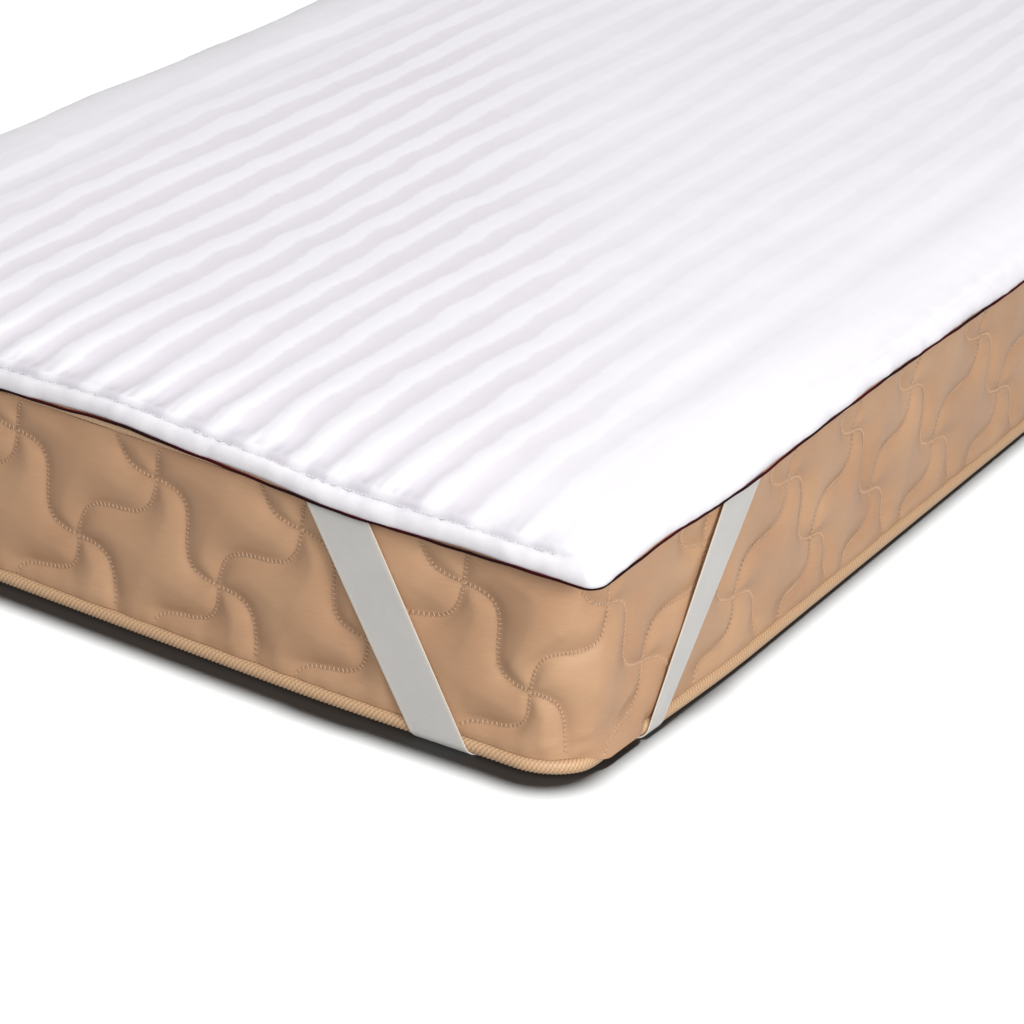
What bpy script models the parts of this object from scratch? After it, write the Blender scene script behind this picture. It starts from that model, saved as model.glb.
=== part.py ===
"""A mattress topper held on a single mattress by an elastic strap under each corner.

Metres, +Z up. X runs across the bed and Y along it. The origin is on the floor, under the
middle of the mattress.
"""

import math
from collections import namedtuple

import bmesh
import bpy
from mathutils import Vector

GAP = 0.0003  # between pieces that touch
STRAIGHT_ENOUGH = 0.0005  # turn in radians below which a line counts as straight

# The mattress, over the fullest part of its sides
MATTRESS_WIDTH = 0.892
MATTRESS_LENGTH = 1.992
MATTRESS_TOP = 0.191
MATTRESS_CORNER = 0.057
PANEL_DRAW_IN = 0.0015  # how far the side panel pulls in at its two seams

# How far the straps pull each corner in, and how far from the corner that still shows
CORNER_DRAW_IN = 0.010
CORNER_REACH = 0.290
TOPPER_DRAW_SHARE = 0.3

# The roped tapes along the mattress's two rims
BOTTOM_TAPE_RADIUS = 0.0065
TOP_TAPE_RADIUS = 0.0055

# The wavy diamond quilting of the mattress's side panel
QUILT_PERIOD = 0.146
QUILT_STEP = 0.079  # height from one row of crossings to the next
QUILT_LOW_ROW = 0.073
QUILT_WAVE = 0.014
QUILT_DEPTH = 0.0045
QUILT_SOFTNESS = 0.015  # how far each stitched valley reaches to its sides
QUILT_LINE_STEPS = 12
COLUMNS_PER_PERIOD = 6
ROWS_PER_STEP = 4
PANEL_ROWS = 8
ROWS_BELOW_CROSSING = 2
FIRST_CROSSING_COLUMN = 3

# The topper, over its piped lower edge
TOPPER_WIDTH = 0.900
TOPPER_LENGTH = 2.000
TOPPER_CORNER = 0.014
TOPPER_CROWN = 0.0095  # rise of the top panel from its sewn edge to the middle
CROWN_REACH = 0.050  # the crown is mostly reached this far in from that edge
CROWN_WAVE = 0.0004
PIPING_RADIUS = 0.0013
PIPING_INSET = 0.0009
PIPING_HEIGHT = MATTRESS_TOP - 0.0040

# The corner straps of flat elastic
STRAP_WIDTH = 0.050
STRAP_THICKNESS = 0.0012
STRAP_SLANT = 0.61  # sideways run for each unit of height
STRAP_END_START = 0.2365  # from the topper's corner to the strap's upper end, on the short side
STRAP_SIDE_START = 0.2365  # the same on the long side
STRAP_SIDE_GATHER = 0.36  # share of its width left where it turns under the long side
STRAP_BEND_STEPS = 6
STRAP_UNDER_STEPS = 8

# How the straps pull the topper's rim down, and how it lies between them
STRAP_PULL_END = 0.0055
STRAP_PULL_SIDE = 0.0030
STRAP_PULL_REACH = 0.130
RIM_LIFT_MIDDLE = 0.0040
RIM_LIFT_REACH = 0.100
RIM_LIFT_SIDE = 0.0030
RIM_WAVE = 0.0010
RIM_WAVE_LENGTH = 0.50

Steps = namedtuple("Steps", "across along corner")
MATTRESS_STEPS = Steps(across=32, along=77, corner=4)
TOPPER_STEPS = Steps(across=18, along=42, corner=4)

# The topper's rim, from the edge of the top panel over the seam and the side band to the
# underside. inset is inward from the piped edge, rise is above the mattress's top, and follow
# is the share of the straps' pull that the line takes.
RimLine = namedtuple("RimLine", "name inset rise follow")
RIM = [
    RimLine("panel edge", 0.0150, 0.0190, 0.60),
    RimLine("seam", 0.0090, 0.0150, 0.85),
    RimLine("band shoulder", 0.0040, 0.0140, 0.95),
    RimLine("band upper", -0.0008, 0.0105, 1.00),
    RimLine("band middle", -0.0022, 0.0050, 1.00),
    RimLine("band lower", -0.0008, 0.0000, 1.00),
    RimLine("piped seam", 0.0022, -0.0030, 1.00),
    RimLine("underside edge", 0.0050, GAP, 0.00),
]
PANEL_EDGE = RIM[0]
PIPED_SEAM = RIM[-2]

Corner = namedtuple("Corner", "name east north")
CORNERS = [
    Corner("foot_right", 1, -1),
    Corner("foot_left", -1, -1),
    Corner("head_right", 1, 1),
    Corner("head_left", -1, 1),
]

Finish = namedtuple("Finish", "colour roughness")
FINISHES = {
    "white_satin_cotton": Finish((0.93, 0.91, 0.94), 0.55),
    "dark_piping_cord": Finish((0.035, 0.006, 0.010), 0.70),
    "grey_elastic": Finish((0.62, 0.60, 0.57), 0.75),
    "tan_satin": Finish((0.52, 0.35, 0.22), 0.45),
    "tan_tape": Finish((0.66, 0.44, 0.27), 0.65),
}


def empty_scene():
    for thing in list(bpy.data.objects):
        bpy.data.objects.remove(thing)


def make_collection(name):
    collection = bpy.data.collections.new(name)
    bpy.context.scene.collection.children.link(collection)
    return collection


def material(name):
    finish = FINISHES[name]
    made = bpy.data.materials.get(name) or bpy.data.materials.new(name)
    made.use_nodes = True
    shader = made.node_tree.nodes["Principled BSDF"]
    shader.inputs["Base Color"].default_value = (*finish.colour, 1)
    shader.inputs["Roughness"].default_value = finish.roughness
    shader.inputs["Metallic"].default_value = 0.0
    return made


def finished(name, data, finish, collection):
    """Makes an object of a mesh or curve, with its finish, in the collection."""
    data.materials.append(material(finish))
    made = bpy.data.objects.new(name, data)
    collection.objects.link(made)
    return made


def mesh_of(bm, name):
    bmesh.ops.recalc_face_normals(bm, faces=bm.faces)
    mesh = bpy.data.meshes.new(name)
    bm.to_mesh(mesh)
    bm.free()
    return mesh


def bump(distance, reach):
    """1 at no distance, falling smoothly to 0 at reach."""
    return 0.5 + 0.5 * math.cos(math.pi * min(1.0, abs(distance) / reach))


def drawn_in(point, width, length, share=1.0):
    """A point of a plan of that width and length, after the straps have pulled its corners in."""
    depth = share * CORNER_DRAW_IN
    across = depth * bump(length / 2 - abs(point.y), CORNER_REACH)
    along = depth * bump(width / 2 - abs(point.x), CORNER_REACH)
    return Vector((point.x * (1 - across / (width / 2)), point.y * (1 - along / (length / 2))))


def at_height(points, height):
    return [Vector((point.x, point.y, height)) for point in points]


def outline(width, length, radius, steps):
    """Points round a rectangle with round corners, anticlockwise from where its upper right
    corner begins, with even steps round each corner and along each side."""
    directions = [(1, 1), (-1, 1), (-1, -1), (1, -1)]
    centres = [
        Vector((east * (width / 2 - radius), north * (length / 2 - radius)))
        for east, north in directions
    ]
    points = []
    for turn, centre in enumerate(centres):
        for step in range(steps.corner + 1):
            angle = math.radians(90 * (turn + step / steps.corner))
            points.append(centre + radius * Vector((math.cos(angle), math.sin(angle))))
        start = points.pop()
        end = centres[(turn + 1) % 4] + (start - centre)
        count = steps.across if turn % 2 == 0 else steps.along
        points += [start.lerp(end, step / count) for step in range(count)]
    return points


def mattress_ring(offset, steps=MATTRESS_STEPS):
    """The mattress's plan, grown by offset."""
    ring = outline(
        MATTRESS_WIDTH + 2 * offset, MATTRESS_LENGTH + 2 * offset, MATTRESS_CORNER + offset, steps
    )
    return [drawn_in(point, MATTRESS_WIDTH, MATTRESS_LENGTH) for point in ring]


def topper_ring(inset):
    """The topper's plan, moved in by inset."""
    ring = outline(
        TOPPER_WIDTH - 2 * inset, TOPPER_LENGTH - 2 * inset, TOPPER_CORNER, TOPPER_STEPS
    )
    return [drawn_in(point, TOPPER_WIDTH, TOPPER_LENGTH, TOPPER_DRAW_SHARE) for point in ring]


def add_ring(bm, ring, places):
    """Extrudes a closed ring of vertices, moves the new ring to its places and returns it."""
    edges = [bm.edges.get((ring[i - 1], ring[i])) for i in range(len(ring))]
    old = set(ring)
    made = bmesh.ops.extrude_edge_only(bm, edges=edges)["geom"]
    following = {}
    for vert in made:
        if isinstance(vert, bmesh.types.BMVert):
            for edge in vert.link_edges:
                if edge.other_vert(vert) in old:
                    following[edge.other_vert(vert)] = vert
    fresh = [following[vert] for vert in ring]
    for vert, place in zip(fresh, places):
        vert.co = place
    return fresh


def quilting_lines():
    """Points (along the side, height) on the quilting's S-shaped lines, for one period and its
    neighbours. Each crossing sends a line down to each side."""
    points = []
    for level in range(-1, 4):
        height = QUILT_LOW_ROW + QUILT_STEP * level
        shift = QUILT_PERIOD / 2 * (level % 2)
        for repeat in (-1, 0, 1, 2):
            for side in (-1, 1):
                slide = side * QUILT_PERIOD / 2
                length = math.hypot(slide, QUILT_STEP)
                for step in range(QUILT_LINE_STEPS):
                    share = step / QUILT_LINE_STEPS
                    wave = QUILT_WAVE * math.sin(2 * math.pi * share)
                    along = shift + repeat * QUILT_PERIOD + slide * share
                    points.append(
                        (
                            along + wave * QUILT_STEP / length,
                            height - QUILT_STEP * share + wave * slide / length,
                        )
                    )
    return points


def side_panel_rings():
    """The quilted rings of the side panel, from low to high: out on the puffs, in on the lines."""
    lines = quilting_lines()
    puffed = mattress_ring(0)
    stitched = mattress_ring(-QUILT_DEPTH)
    row_height = QUILT_STEP / ROWS_PER_STEP
    rings = []
    for row in range(PANEL_ROWS):
        height = QUILT_LOW_ROW + (row - ROWS_BELOW_CROSSING) * row_height
        depths = []
        for column in range(COLUMNS_PER_PERIOD):
            along = column * QUILT_PERIOD / COLUMNS_PER_PERIOD
            nearest = min(math.hypot(along - x, height - z) for x, z in lines)
            depths.append(math.exp(-((nearest / QUILT_SOFTNESS) ** 2)))
        places = [
            outer.lerp(inner, depths[(k - FIRST_CROSSING_COLUMN) % COLUMNS_PER_PERIOD])
            for k, (outer, inner) in enumerate(zip(puffed, stitched))
        ]
        rings.append(at_height(places, height))
    return rings


def strap_room():
    """Height that a strap takes up under the mattress, with the gaps under and over it."""
    return GAP / 2 + STRAP_THICKNESS + GAP


def make_mattress(collection, cutters):
    """The mattress: flat underside and top, quilted side, and a rebate at each rim for its tape."""
    low_ledge = strap_room() + 2 * BOTTOM_TAPE_RADIUS + GAP
    high_ledge = MATTRESS_TOP - 2 * TOP_TAPE_RADIUS - GAP
    low_wall = mattress_ring(-2 * BOTTOM_TAPE_RADIUS - GAP)
    high_wall = mattress_ring(-2 * TOP_TAPE_RADIUS - 2 * GAP)
    seam = mattress_ring(-PANEL_DRAW_IN)
    bm = bmesh.new()
    bmesh.ops.create_circle(bm, cap_ends=True, segments=len(low_wall), radius=1)
    ring = list(bm.verts)
    for vert, place in zip(ring, at_height(low_wall, 0)):
        vert.co = place
    ring = add_ring(bm, ring, at_height(low_wall, low_ledge))
    ring = add_ring(bm, ring, at_height(seam, low_ledge))
    for places in side_panel_rings():
        ring = add_ring(bm, ring, places)
    ring = add_ring(bm, ring, at_height(seam, high_ledge))
    ring = add_ring(bm, ring, at_height(high_wall, high_ledge))
    ring = add_ring(bm, ring, at_height(high_wall, MATTRESS_TOP))
    bmesh.ops.contextual_create(bm, geom=ring)
    made = finished("mattress", mesh_of(bm, "mattress"), "tan_satin", collection)
    for cutter in cutters:
        cut = made.modifiers.new(cutter.name, "BOOLEAN")
        cut.operation = "DIFFERENCE"
        cut.solver = "EXACT"
        cut.object = cutter


def make_tube(name, points, radius, roundness, finish, collection):
    """A closed round cord through the points."""
    curve = bpy.data.curves.new(name, "CURVE")
    curve.dimensions = "3D"
    curve.bevel_depth = radius
    curve.bevel_resolution = roundness
    spline = curve.splines.new("POLY")
    spline.points.add(len(points) - 1)
    for point, place in zip(spline.points, points):
        point.co = (*place, 1)
    spline.use_cyclic_u = True
    finished(name, curve, finish, collection)


def where_it_bends(ring):
    """The points of a closed ring, without those in the middle of a straight run."""
    kept = []
    for k, point in enumerate(ring):
        before = (point - ring[k - 1]).normalized()
        after = (ring[(k + 1) % len(ring)] - point).normalized()
        if (after - before).length > STRAIGHT_ENOUGH:
            kept.append(point)
    return kept


def make_tapes(collection):
    """The two roped tapes, each sunk in its rebate."""
    rims = {
        "mattress_tape_bottom": (BOTTOM_TAPE_RADIUS, 0, strap_room() + BOTTOM_TAPE_RADIUS),
        "mattress_tape_top": (TOP_TAPE_RADIUS, GAP, MATTRESS_TOP - TOP_TAPE_RADIUS),
    }
    for name, (radius, inset, height) in rims.items():
        path = where_it_bends(mattress_ring(-radius - inset))
        make_tube(name, at_height(path, height), radius, 2, "tan_tape", collection)


def rim_shift(point):
    """How far the topper's rim lies above its usual height, beside a point of its piped edge."""
    across = TOPPER_WIDTH / 2 - abs(point.x)
    along = TOPPER_LENGTH / 2 - abs(point.y)
    if along < across:
        pull = STRAP_PULL_END * bump(across - STRAP_END_START, STRAP_PULL_REACH)
        return RIM_LIFT_MIDDLE * bump(point.x, RIM_LIFT_REACH) - pull
    pull = STRAP_PULL_SIDE * bump(along - STRAP_SIDE_START, STRAP_PULL_REACH)
    lift = RIM_LIFT_SIDE + RIM_WAVE * math.cos(2 * math.pi * point.y / RIM_WAVE_LENGTH)
    return lift * (1 - bump(along, STRAP_PULL_REACH)) - pull


def crown_height(x, y):
    """Height of the top panel, which is fullest in the middle and lies in slow, shallow waves."""
    inward = min(TOPPER_WIDTH / 2 - abs(x), TOPPER_LENGTH / 2 - abs(y)) - PANEL_EDGE.inset
    full = 1 - math.exp(-max(inward, 0) / CROWN_REACH)
    waves = math.cos(11 * x + 3 * y) + math.cos(7 * y - 4 * x) + math.cos(17 * x - 9 * y)
    return MATTRESS_TOP + PANEL_EDGE.rise + full * (TOPPER_CROWN + CROWN_WAVE * waves)


def top_panel(bm, rim_points):
    """The top panel as a grid whose rim follows the points. Returns that rim's vertices."""
    columns = TOPPER_STEPS.across + TOPPER_STEPS.corner
    rows = TOPPER_STEPS.along + TOPPER_STEPS.corner
    walk = [(columns - i, rows) for i in range(columns)]
    walk += [(0, rows - j) for j in range(rows)]
    walk += [(i, 0) for i in range(columns)]
    walk += [(columns, j) for j in range(rows)]
    half_corner = TOPPER_STEPS.corner // 2  # the grid's corner is the middle of the round one
    rim = {cell: rim_points[(half_corner + k) % len(walk)] for k, cell in enumerate(walk)}
    bmesh.ops.create_grid(bm, x_segments=columns, y_segments=rows, size=0.5)
    verts = {}
    for vert in bm.verts:
        cell = (round((vert.co.x + 0.5) * columns), round((vert.co.y + 0.5) * rows))
        verts[cell] = vert
    for (i, j), vert in verts.items():
        x, y = rim.get((i, j)) or (rim[i, 0].x, rim[0, j].y)
        beside = [rim[i, 0], rim[i, rows], rim[0, j], rim[columns, j]]
        away = [y - rim[i, 0].y, rim[i, rows].y - y, x - rim[0, j].x, rim[columns, j].x - x]
        nearest = min(range(4), key=lambda k: away[k])
        shift = rim_shift(beside[nearest]) * math.exp(-max(away[nearest], 0) / CROWN_REACH)
        vert.co = (x, y, crown_height(x, y) + PANEL_EDGE.follow * shift)
    return [verts[walk[(k - half_corner) % len(walk)]] for k in range(len(walk))]


def make_topper(collection):
    """The filled pad: crowned top panel, sewn seam, rounded side band and flat underside."""
    bm = bmesh.new()
    ring = top_panel(bm, topper_ring(PANEL_EDGE.inset))
    shifts = [rim_shift(point) for point in topper_ring(0)]
    for line in RIM[1:]:
        places = [
            Vector((point.x, point.y, MATTRESS_TOP + line.rise + line.follow * shift))
            for point, shift in zip(topper_ring(line.inset), shifts)
        ]
        ring = add_ring(bm, ring, places)
    bmesh.ops.contextual_create(bm, geom=ring)
    finished("topper_pad", mesh_of(bm, "topper_pad"), "white_satin_cotton", collection)


def make_piping(collection):
    """The dark cord sewn round the topper's lower edge."""
    shifts = [rim_shift(point) for point in topper_ring(0)]
    points = [
        Vector((point.x, point.y, PIPING_HEIGHT + shift))
        for point, shift in zip(topper_ring(PIPING_INSET), shifts)
    ]
    make_tube("topper_piping", points, PIPING_RADIUS, 1, "dark_piping_cord", collection)


def strap_side_run(start, rim_point, gather):
    """Sections of a strap on one side of a corner, from the underside round the tape and up to
    the topper's rim. Each is (inward from the side, height, distance of the strap's middle from
    the mattress's corner, half its width along the side)."""
    bend_radius = BOTTOM_TAPE_RADIUS + GAP + STRAP_THICKNESS / 2
    bend_height = strap_room() + BOTTOM_TAPE_RADIUS
    bend_length = bend_radius * math.radians(90)
    rise = MATTRESS_TOP + PIPED_SEAM.rise + rim_shift(rim_point) - GAP - bend_height
    places = []
    for step in range(STRAP_BEND_STEPS + 1):
        share = step / STRAP_BEND_STEPS
        angle = math.radians(90 * share)
        inward = BOTTOM_TAPE_RADIUS - bend_radius * math.sin(angle)
        places.append((inward, bend_height - bend_radius * math.cos(angle), share * bend_length))
    for share in (0.25, 0.5, 0.75, 1.0):
        inward = BOTTOM_TAPE_RADIUS - bend_radius
        places.append((inward, bend_height + share * rise, bend_length + share * rise))
    travel = bend_length + rise
    half = STRAP_WIDTH / 2 * math.hypot(1, STRAP_SLANT)
    corner_gap = (TOPPER_WIDTH - MATTRESS_WIDTH) / 2
    return [
        (
            inward,
            height,
            start - corner_gap - STRAP_SLANT * (travel - travelled),
            half * (gather + (1 - gather) * travelled / travel),
        )
        for inward, height, travelled in places
    ]


def strap_runs():
    """The strap's sections on the short side and on the long side."""
    half_width, half_length = TOPPER_WIDTH / 2, TOPPER_LENGTH / 2
    short_side = Vector((half_width - STRAP_END_START, half_length))
    long_side = Vector((half_width, half_length - STRAP_SIDE_START))
    return (
        strap_side_run(STRAP_END_START, short_side, 1.0),
        strap_side_run(STRAP_SIDE_START, long_side, STRAP_SIDE_GATHER),
    )


def arc(start, end):
    """Points on the curve that an edge of the strap takes under the corner. It leaves each rim at
    the slant that the strap has on the sides."""
    turn = math.radians(90) - 2 * math.atan(STRAP_SLANT)
    chord = end - start
    radius = chord.length / 2 / math.sin(turn / 2)
    towards_corner = Vector((chord.y, -chord.x)).normalized()
    centre = (start + end) / 2 + towards_corner * radius * math.cos(turn / 2)
    points = []
    for step in range(STRAP_UNDER_STEPS + 1):
        angle = turn * (step / STRAP_UNDER_STEPS - 0.5)
        away = -towards_corner
        turned = Vector(
            (
                away.x * math.cos(angle) + away.y * math.sin(angle),
                away.y * math.cos(angle) - away.x * math.sin(angle),
            )
        )
        points.append(centre + radius * turned)
    return points


def strap_under_edges(margin=0.0):
    """The strap's far and near edge under the mattress, from the short side's bend to the long
    side's, as points (inward from the long side, inward from the short side)."""
    short_side, long_side = strap_runs()
    edges = []
    for side in (1, -1):
        inward, _, distance, half = short_side[0]
        start = Vector((distance + side * (half + margin), inward))
        inward, _, distance, half = long_side[0]
        end = Vector((inward, distance + side * (half + margin)))
        edges.append(arc(start, end))
    return edges


def strap_sections():
    """The whole strap as pairs of edge points (inward from the long side, inward from the short
    side, height), from its end on the short side to its end on the long side."""
    short_side, long_side = strap_runs()
    under_height = short_side[0][1]
    far_edge, near_edge = strap_under_edges()
    sections = []
    for inward, height, distance, half in reversed(short_side):
        sections.append([(distance + half, inward, height), (distance - half, inward, height)])
    for far, near in list(zip(far_edge, near_edge))[1:-1]:
        sections.append([(far.x, far.y, under_height), (near.x, near.y, under_height)])
    for inward, height, distance, half in long_side:
        sections.append([(inward, distance + half, height), (inward, distance - half, height)])
    return sections


def in_corner(corner, inward_x, inward_y):
    """The plan point that lies so far inward from the mattress's sides at a corner."""
    point = Vector(
        (
            corner.east * (MATTRESS_WIDTH / 2 - inward_x),
            corner.north * (MATTRESS_LENGTH / 2 - inward_y),
        )
    )
    return drawn_in(point, MATTRESS_WIDTH, MATTRESS_LENGTH)


def make_straps(collection):
    """Four elastic straps, each from the topper's short side, under the corner, to its long side."""
    sections = strap_sections()
    lengths = len(sections) - 1
    for corner in CORNERS:
        name = f"strap_{corner.name}"
        bm = bmesh.new()
        bmesh.ops.create_grid(bm, x_segments=lengths, y_segments=1, size=0.5)
        for vert in bm.verts:
            section = sections[round((vert.co.x + 0.5) * lengths)]
            inward_x, inward_y, height = section[round(vert.co.y + 0.5)]
            vert.co = in_corner(corner, inward_x, inward_y).to_3d()
            vert.co.z = height
        made = finished(name, mesh_of(bm, name), "grey_elastic", collection)
        thicken = made.modifiers.new("thickness", "SOLIDIFY")
        thicken.thickness = STRAP_THICKNESS
        thicken.offset = 0
        thicken.use_even_offset = True


def make_strap_hollows(collection):
    """The shallow hollows that the straps press into the mattress's underside, as cutters."""
    far_edge, near_edge = strap_under_edges(2 * GAP)
    cutters = []
    for corner in CORNERS:
        name = f"hollow_{corner.name}"
        loop = [in_corner(corner, *point) for point in far_edge + near_edge[::-1]]
        bm = bmesh.new()
        face = bm.faces.new([bm.verts.new(place) for place in at_height(loop, -strap_room())])
        raised = bmesh.ops.extrude_face_region(bm, geom=[face])["geom"]
        for part in raised:
            if isinstance(part, bmesh.types.BMVert):
                part.co.z = strap_room()
        cutter = bpy.data.objects.new(name, mesh_of(bm, name))
        cutter.hide_render = True
        cutter.display_type = "WIRE"
        collection.objects.link(cutter)
        cutters.append(cutter)
    return cutters


def main():
    empty_scene()
    parts = make_collection("mattress_topper_on_mattress")
    cutters = make_strap_hollows(make_collection("cutters"))
    make_mattress(parts, cutters)
    make_tapes(parts)
    make_topper(parts)
    make_piping(parts)
    make_straps(parts)


main()
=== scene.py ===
import math

import bpy
import numpy as np
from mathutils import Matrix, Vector, noise


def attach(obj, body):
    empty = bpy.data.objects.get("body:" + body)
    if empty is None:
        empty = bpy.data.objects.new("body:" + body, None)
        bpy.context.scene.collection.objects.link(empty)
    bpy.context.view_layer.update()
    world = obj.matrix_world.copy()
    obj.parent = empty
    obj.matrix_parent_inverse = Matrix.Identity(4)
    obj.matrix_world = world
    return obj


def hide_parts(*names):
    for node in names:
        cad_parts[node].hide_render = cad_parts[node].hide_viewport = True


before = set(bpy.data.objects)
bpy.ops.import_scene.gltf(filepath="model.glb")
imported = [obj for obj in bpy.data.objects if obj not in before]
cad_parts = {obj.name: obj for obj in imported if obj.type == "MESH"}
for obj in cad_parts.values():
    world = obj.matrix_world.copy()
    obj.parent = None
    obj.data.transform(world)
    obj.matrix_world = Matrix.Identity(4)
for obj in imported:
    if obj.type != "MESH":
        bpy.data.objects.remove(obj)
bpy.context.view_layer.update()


def deselectAll():
    if bpy.context.object and bpy.context.object.mode != "OBJECT":
        bpy.ops.object.mode_set(mode="OBJECT")
    bpy.ops.object.select_all(action="DESELECT")


def pick(piece):
    deselectAll()
    piece.select_set(True)
    bpy.context.view_layer.objects.active = piece


def bump(distance, reach):  # 1 at no distance, falling smoothly to 0 at reach
    return 0.5 + 0.5 * np.cos(np.pi * np.minimum(1.0, np.abs(distance) / reach))


def ease(value, low, high):  # 0 below low, 1 above high, smooth between them
    share = np.clip((value - low) / (high - low), 0.0, 1.0)
    return share * share * (3 - 2 * share)


def fall(distance, reach):  # 1 at no distance, dying away after it
    return np.exp(-np.maximum(distance, 0) / reach)


def roughness(x, y, z, size, seed=0.0):  # slow random waves of that size, about -1 to 1
    flat = zip(np.ravel(x) / size, np.ravel(y) / size, np.ravel(z) / size + seed)
    return np.array([noise.noise(Vector(place)) for place in flat]).reshape(np.shape(x))


def outline(width, length, radius, steps):
    # points round a rectangle with round corners, anticlockwise from the far right corner
    turns = [(1, 1), (-1, 1), (-1, -1), (1, -1)]
    centres = [np.array((e * (width / 2 - radius), n * (length / 2 - radius))) for e, n in turns]
    points = []
    for turn, centre in enumerate(centres):
        for step in range(steps["corner"] + 1):
            angle = math.radians(90 * (turn + step / steps["corner"]))
            points.append(centre + radius * np.array((math.cos(angle), math.sin(angle))))
        start = points.pop()
        move = centres[(turn + 1) % 4] - centre
        count = steps["across"] if turn % 2 == 0 else steps["along"]
        points += [start + move * step / count for step in range(count)]
    return np.array(points)


# sizes of the bed, as in the part's source
bed = {
    "width": 0.892,
    "length": 1.992,
    "top": 0.191,
    "corner": 0.057,
    "drawIn": 0.010,  # the straps pull the corners in by so much
    "drawReach": 0.290,
    "steps": {"across": 32, "along": 77, "corner": 4},  # one step is a sixth of a quilting period
}
pad = {
    "width": 0.900,
    "length": 2.000,
    "corner": 0.014,
    "drawShare": 0.3,
    "crown": 0.0095,
    "crownReach": 0.042,
    "crownWave": 0.0004,
    "edgeInset": 0.0150,  # the top panel's edge, in from the piped edge
    "edgeRise": 0.0190,  # and its height over the mattress
    "edgeFollow": 0.60,
    "columns": 180,
    "rows": 388,
    "cornerSteps": 8,
}
straps = {
    "width": 0.050,
    "thickness": 0.0012,
    "slant": 0.61,
    "start": 0.2365,  # from the topper's corner to the strap's upper ends
    "endGather": 0.90,
    "sideGather": 0.36,  # share of its width left at the bottom of the long side
    "below": 0.0030,  # their upper ends lie this far below the mattress's top
    "pullEnd": 0.0055,
    "pullSide": 0.0030,
    "pullReach": 0.130,
}
rim = {
    "liftMiddle": 0.0040,
    "liftReach": 0.100,
    "liftSide": 0.0030,
    "wave": 0.0010,
    "waveLength": 0.50,
    "sag": 0.0030,  # between an end's strap and the corner
    "sagPlace": 0.115,
    "middleSag": 0.0050,  # halfway along the long sides
    "middleReach": 0.60,
}
gap = 0.0003
tapeRadius = 0.0065
topTapeRadius = 0.0055
strapRoom = gap / 2 + straps["thickness"] + gap
# the mattress's outline in steps: those at which its corners start, and the whole way round
cornerStarts = (0, 36, 117, 153)
cornerSteps = bed["steps"]["corner"]
ringSteps = 234


def drawnIn(plan, width, length, share=1.0):
    depth = share * bed["drawIn"]
    across = depth * bump(length / 2 - np.abs(plan[..., 1]), bed["drawReach"])
    along = depth * bump(width / 2 - np.abs(plan[..., 0]), bed["drawReach"])
    scale = np.stack((1 - across / (width / 2), 1 - along / (length / 2)), axis=-1)
    return plan * scale


def bedRing(offset, fine):
    steps = {key: count * fine for key, count in bed["steps"].items()}
    width, length = bed["width"] + 2 * offset, bed["length"] + 2 * offset
    ring = outline(width, length, bed["corner"] + offset, steps)
    return drawnIn(ring, bed["width"], bed["length"])


def bedEdge(fine):  # the mattress's outline and its directions outwards
    base = bedRing(0, fine)
    return base, (bedRing(0.001, fine) - base) / 0.001


def padRing(inset, steps):
    ring = outline(pad["width"] - 2 * inset, pad["length"] - 2 * inset, pad["corner"], steps)
    return drawnIn(ring, pad["width"], pad["length"], pad["drawShare"])


def padEdge(steps):  # the topper's outline and its directions outwards
    path = padRing(0, steps)
    return path, (path - padRing(0.001, steps)) / 0.001


def runAlong(path):  # how far along a line each of its points is
    return np.concatenate(([0], np.cumsum(np.hypot(*np.diff(path, axis=0).T))))


def fromRim(plan):  # distances inwards from the topper's sides and from its ends
    return pad["width"] / 2 - np.abs(plan[..., 0]), pad["length"] / 2 - np.abs(plan[..., 1])


def rimShift(plan):
    # how far the topper's rim lies above its usual height
    across, along = fromRim(plan)
    pullEnd = straps["pullEnd"] * bump(across - straps["start"], straps["pullReach"])
    pullEnd = pullEnd + rim["sag"] * bump(across - rim["sagPlace"], rim["sagPlace"])
    onEnd = rim["liftMiddle"] * bump(plan[..., 0], rim["liftReach"]) - pullEnd
    lift = rim["liftSide"] + rim["wave"] * np.cos(math.tau * plan[..., 1] / rim["waveLength"])
    lift = lift - rim["middleSag"] * bump(plan[..., 1], rim["middleReach"])
    pullSide = straps["pullSide"] * bump(along - straps["start"], straps["pullReach"])
    onSide = lift * (1 - bump(along, straps["pullReach"])) - pullSide
    return np.where(along < across, onEnd, onSide)


def addObject(name, data):
    item = bpy.data.objects.new(name, data)
    bpy.context.scene.collection.objects.link(item)
    return item


def gridPiece(name, points, values, uvSize):
    # a grid primitive whose vertices go to points[row, column], with a value at each for materials
    rows, columns = points.shape[:2]
    deselectAll()
    bpy.ops.mesh.primitive_grid_add(x_subdivisions=columns - 1, y_subdivisions=rows - 1, size=1)
    piece = bpy.context.object
    piece.name = piece.data.name = name
    mesh = piece.data
    start = np.empty(len(mesh.vertices) * 3, dtype=np.float32)
    mesh.vertices.foreach_get("co", start)
    start = start.reshape(-1, 3)
    column = np.rint((start[:, 0] + 0.5) * (columns - 1)).astype(int)
    row = np.rint((start[:, 1] + 0.5) * (rows - 1)).astype(int)
    mesh.vertices.foreach_set("co", points[row, column].astype(np.float32).ravel())
    for key, value in values.items():
        attribute = mesh.attributes.new(key, "FLOAT", "POINT")
        attribute.data.foreach_set("value", value[row, column].astype(np.float32))
    uv = np.empty(len(mesh.loops) * 2, dtype=np.float32)
    mesh.uv_layers[0].data.foreach_get("uv", uv)
    mesh.uv_layers[0].data.foreach_set("uv", (uv.reshape(-1, 2) * uvSize).astype(np.float32).ravel())
    mesh.update()
    return piece


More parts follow.
